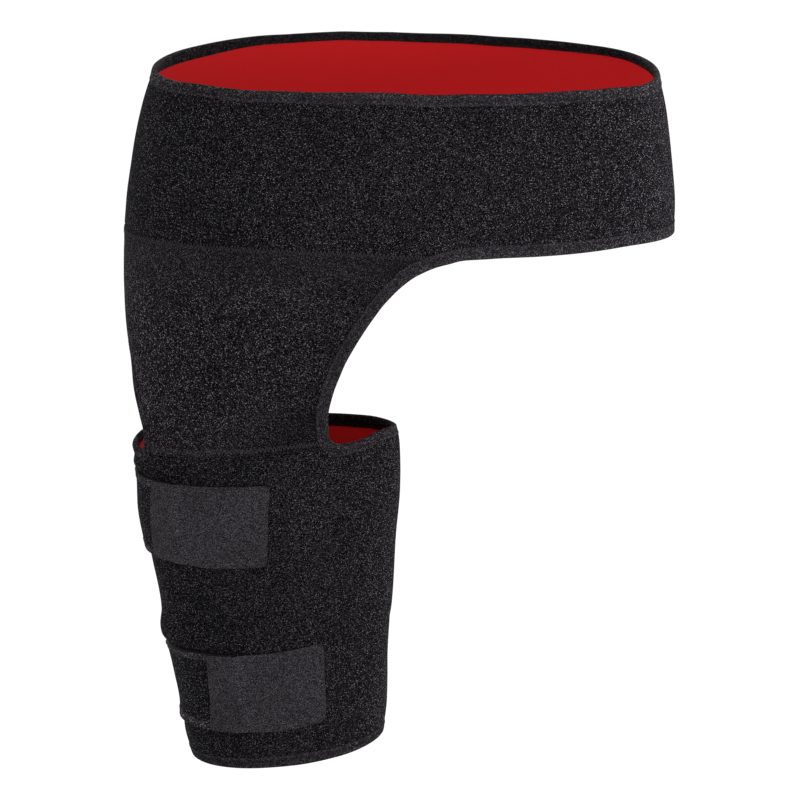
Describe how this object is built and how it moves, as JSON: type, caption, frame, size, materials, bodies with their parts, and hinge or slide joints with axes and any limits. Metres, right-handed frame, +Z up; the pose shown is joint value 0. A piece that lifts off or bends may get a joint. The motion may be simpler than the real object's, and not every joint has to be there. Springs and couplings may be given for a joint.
{
  "type": "hip and thigh support brace",
  "caption": "Soft hip brace: a closed waist belt and a curved hip panel that hangs a lined thigh wrap, closed on the outer side by hook straps.",
  "frame": {"origin": "middle of the waist belt: half way up it, inside the loop, where the waist sits", "axes": "+Z up along the wearer, -Y towards the front, +X towards the bare side, so the thigh wrap hangs on the -X side"},
  "size_m": [0.4123, 0.298, 0.5206],
  "materials": {
    "pile": "black looped pile over thin foam, matt, with lighter flecks",
    "panel": "black short even pile over thin foam, matt",
    "strap": "black soft strap cloth, matt",
    "lining": "red smooth knit, slightly satin",
    "tape": "dark grey stretch binding tape, matt",
    "hook": "dark grey woven hook tape, matt"
  },
  "bodies": {
    "root": {"waist_belt": "pile", "waist_lining": "lining", "waist_top_binding": "tape", "hip_panel": "panel", "hip_lining": "lining", "thigh_wrap": "pile", "thigh_lining": "lining", "cut_out_binding": "tape", "thigh_bottom_binding": "tape", "thigh_end_binding": "tape", "upper_strap": "strap", "upper_hook_tab": "hook", "lower_strap": "strap", "lower_hook_tab": "hook"}
  },
  "joints": []
}
